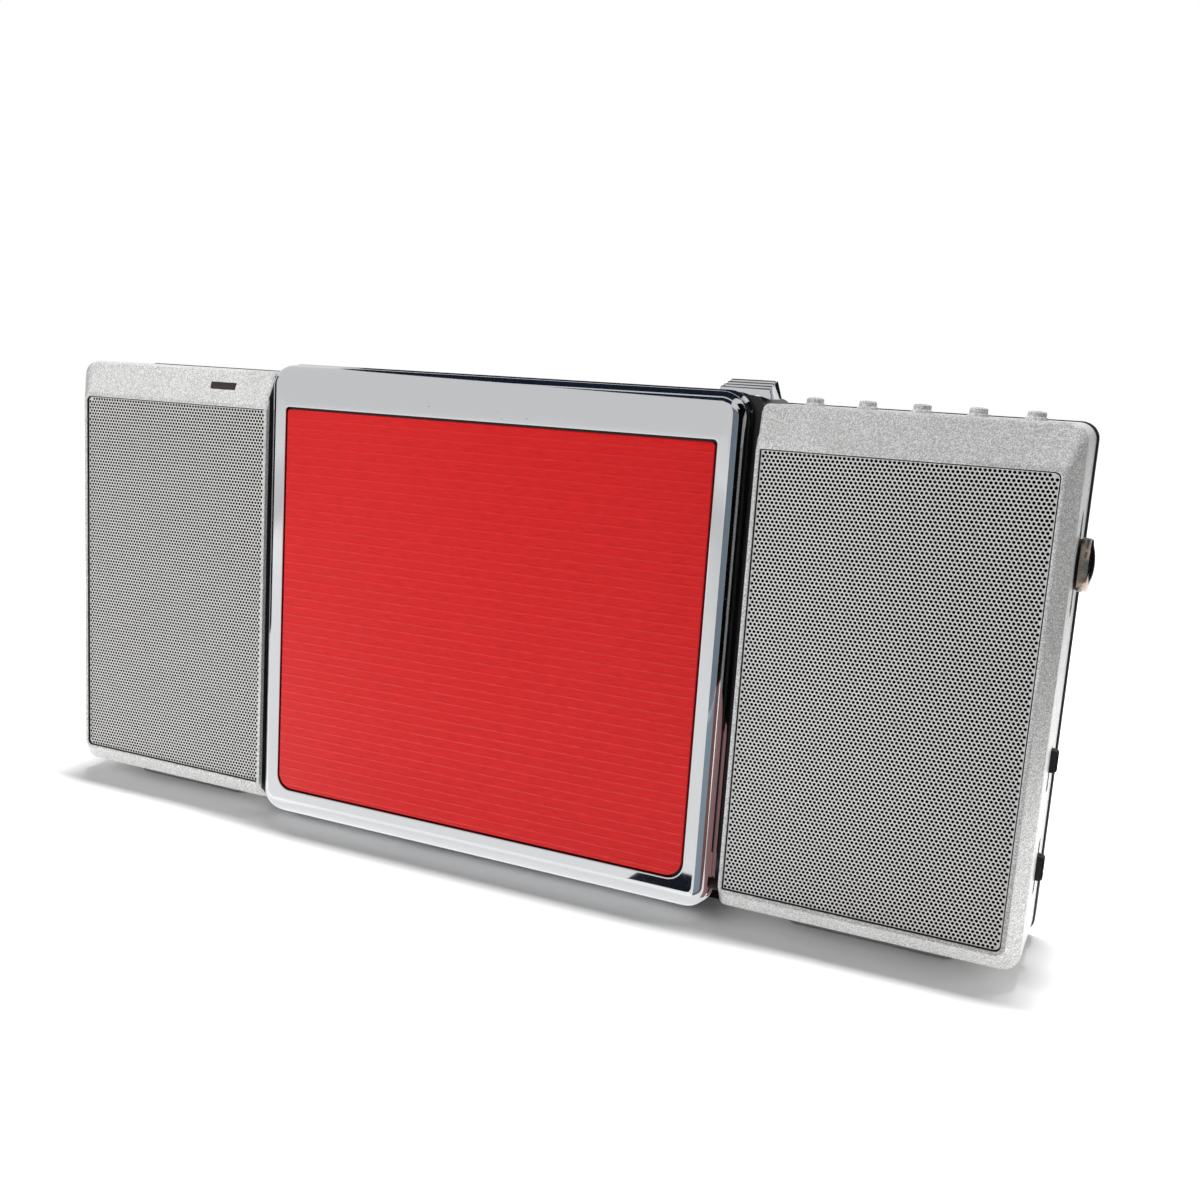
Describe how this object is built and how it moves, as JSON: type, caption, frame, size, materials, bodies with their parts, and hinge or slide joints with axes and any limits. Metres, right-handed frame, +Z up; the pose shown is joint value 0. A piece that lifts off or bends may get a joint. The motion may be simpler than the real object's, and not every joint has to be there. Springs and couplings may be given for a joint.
{
  "type": "portable minidisc player with speakers",
  "caption": "Upright portable minidisc player with a tilting red-panelled lid between speaker wings, with sprung buttons, slide switches, an opening lever and a disc drive.",
  "frame": {"origin": "on the ground below the middle of the player, on the middle foot's lower face", "axes": "+X to the player's right as seen from the front, +Y to the back, +Z up"},
  "size_m": [0.1697, 0.024, 0.0784],
  "materials": {
    "silver_paint": "silver metallic-flake paint on moulded plastic",
    "black_plastic": "black moulded plastic, fine texture",
    "grey_plastic": "dark grey moulded plastic",
    "gloss_black": "polished black plastic",
    "red_panel": "red satin plastic with fine ribs",
    "plated_plastic": "chrome-plated plastic",
    "lamp_red": "dark red clear plastic",
    "grille_sheet": "perforated steel sheet, warm grey paint",
    "steel": "plain sheet or turned steel",
    "chrome_rod": "ground and plated steel",
    "knob_metal": "turned aluminium",
    "cloth": "black dust cloth",
    "paper": "black pressed paper",
    "board": "green circuit board",
    "cell": "drawn cell can",
    "lens_glass": "coated lens",
    "rubber": "black rubber"
  },
  "bodies": {
    "player": {"rear_cover": "black_plastic", "left_shell": "silver_paint", "right_shell": "silver_paint", "left_grille": "grille_sheet", "right_grille": "grille_sheet", "left_grille_cloth": "cloth", "right_grille_cloth": "cloth", "left_speaker_basket": "grey_plastic", "right_speaker_basket": "grey_plastic", "left_speaker_magnet": "steel", "right_speaker_magnet": "steel", "player_frame": "silver_paint", "top_strip": "silver_paint", "hinge_pins": "steel", "lever_pin": "steel", "control_board": "board", "tact_switches": "grey_plastic", "side_board": "board", "side_switches": "grey_plastic", "jack_board": "board", "headphone_jack": "black_plastic", "power_jack": "black_plastic", "lamp_board": "board", "charge_lamp": "lamp_red", "lamp_window": "lamp_red", "battery_tray": "grey_plastic", "battery": "cell", "battery_contacts": "steel", "drive_chassis": "steel", "drive_dampers": "rubber", "drive_screws": "steel", "spindle_motor": "steel", "sled_motor": "steel", "guide_rods": "chrome_rod", "main_board": "board", "board_chips": "gloss_black", "rubber_feet": "rubber", "case_screws": "steel"},
    "lid": {"lid_frame": "plated_plastic", "lid_panel": "red_panel", "lid_catch": "grey_plastic"},
    "holder": {"disc_holder": "steel"},
    "lever": {"open_lever": "plated_plastic"},
    "button_1": {"top_button_1": "plated_plastic"},
    "button_2": {"top_button_2": "plated_plastic"},
    "button_3": {"top_button_3": "plated_plastic"},
    "button_4": {"top_button_4": "plated_plastic"},
    "button_5": {"top_button_5": "plated_plastic"},
    "shuttle": {"shuttle_knob": "knob_metal", "shuttle_cap": "gloss_black"},
    "hold_switch": {"hold_switch_knob": "black_plastic"},
    "tone_switch": {"tone_switch_knob": "black_plastic"},
    "disc_drive": {"turntable": "knob_metal"},
    "sled_screw": {"lead_screw": "steel"},
    "pickup": {"optical_pickup": "grey_plastic", "pickup_lens": "lens_glass"},
    "left_cone": {"left_speaker_cone": "paper"},
    "right_cone": {"right_speaker_cone": "paper"},
    "battery_cover": {"battery_door": "grey_plastic"}
  },
  "joints": [
    {"name": "lid_open", "type": "hinge", "parent": "player", "child": "lid", "pos_m": [0, -0.0085, 0.0053], "axis": [1, 0, 0], "range_deg": [0, 40]},
    {"name": "holder_tilt", "type": "hinge", "parent": "player", "child": "holder", "pos_m": [0, -0.0085, 0.0053], "axis": [1, 0, 0], "range_deg": [0, 20]},
    {"name": "open_lever", "type": "hinge", "parent": "player", "child": "lever", "pos_m": [0.0365, -0.0018, 0.0726], "axis": [1, 0, 0], "range_deg": [-8, 0], "stiffness_Nm_per_rad": 0.1, "springref_deg": 2.86},
    {"name": "button_1_press", "type": "slide", "parent": "player", "child": "button_1", "axis": [0, 0, -1], "range_m": [0, 0.0005], "stiffness_N_per_m": 2000},
    {"name": "button_2_press", "type": "slide", "parent": "player", "child": "button_2", "axis": [0, 0, -1], "range_m": [0, 0.0005], "stiffness_N_per_m": 2000},
    {"name": "button_3_press", "type": "slide", "parent": "player", "child": "button_3", "axis": [0, 0, -1], "range_m": [0, 0.0005], "stiffness_N_per_m": 2000},
    {"name": "button_4_press", "type": "slide", "parent": "player", "child": "button_4", "axis": [0, 0, -1], "range_m": [0, 0.0005], "stiffness_N_per_m": 2000},
    {"name": "button_5_press", "type": "slide", "parent": "player", "child": "button_5", "axis": [0, 0, -1], "range_m": [0, 0.0005], "stiffness_N_per_m": 2000},
    {"name": "shuttle_slide", "type": "slide", "parent": "player", "child": "shuttle", "axis": [0, 0, 1], "range_m": [-0.003, 0.003], "stiffness_N_per_m": 300},
    {"name": "hold_slide", "type": "slide", "parent": "player", "child": "hold_switch", "axis": [0, 0, 1], "range_m": [-0.0026, 0]},
    {"name": "tone_slide", "type": "slide", "parent": "player", "child": "tone_switch", "axis": [0, 0, 1], "range_m": [-0.002, 0.002]},
    {"name": "disc_spin", "type": "hinge", "parent": "player", "child": "disc_drive", "pos_m": [0, -0.0035, 0.04], "axis": [0, 1, 0], "continuous": true},
    {"name": "pickup_slide", "type": "slide", "parent": "player", "child": "pickup", "axis": [1, 0, 0], "range_m": [0, 0.014]},
    {"name": "screw_spin", "type": "hinge", "parent": "player", "child": "sled_screw", "pos_m": [0.02, 0.0007, 0.0265], "axis": [1, 0, 0], "continuous": true},
    {"name": "left_cone_move", "type": "slide", "parent": "player", "child": "left_cone", "axis": [0, 1, 0], "range_m": [-0.0003, 0.0003], "stiffness_N_per_m": 1500},
    {"name": "right_cone_move", "type": "slide", "parent": "player", "child": "right_cone", "axis": [0, 1, 0], "range_m": [-0.0003, 0.0003], "stiffness_N_per_m": 1500},
    {"name": "battery_door_open", "type": "hinge", "parent": "player", "child": "battery_cover", "pos_m": [-0.0709, 0.0112, 0.03875], "axis": [0, 0, 1], "range_deg": [0, 100]}
  ],
  "couplings": [
    {"joint": "holder_tilt", "follows": "lid_open", "ratio": 0.5},
    {"joint": "screw_spin", "follows": "pickup_slide", "rad_per_m": 2094.4}
  ]
}
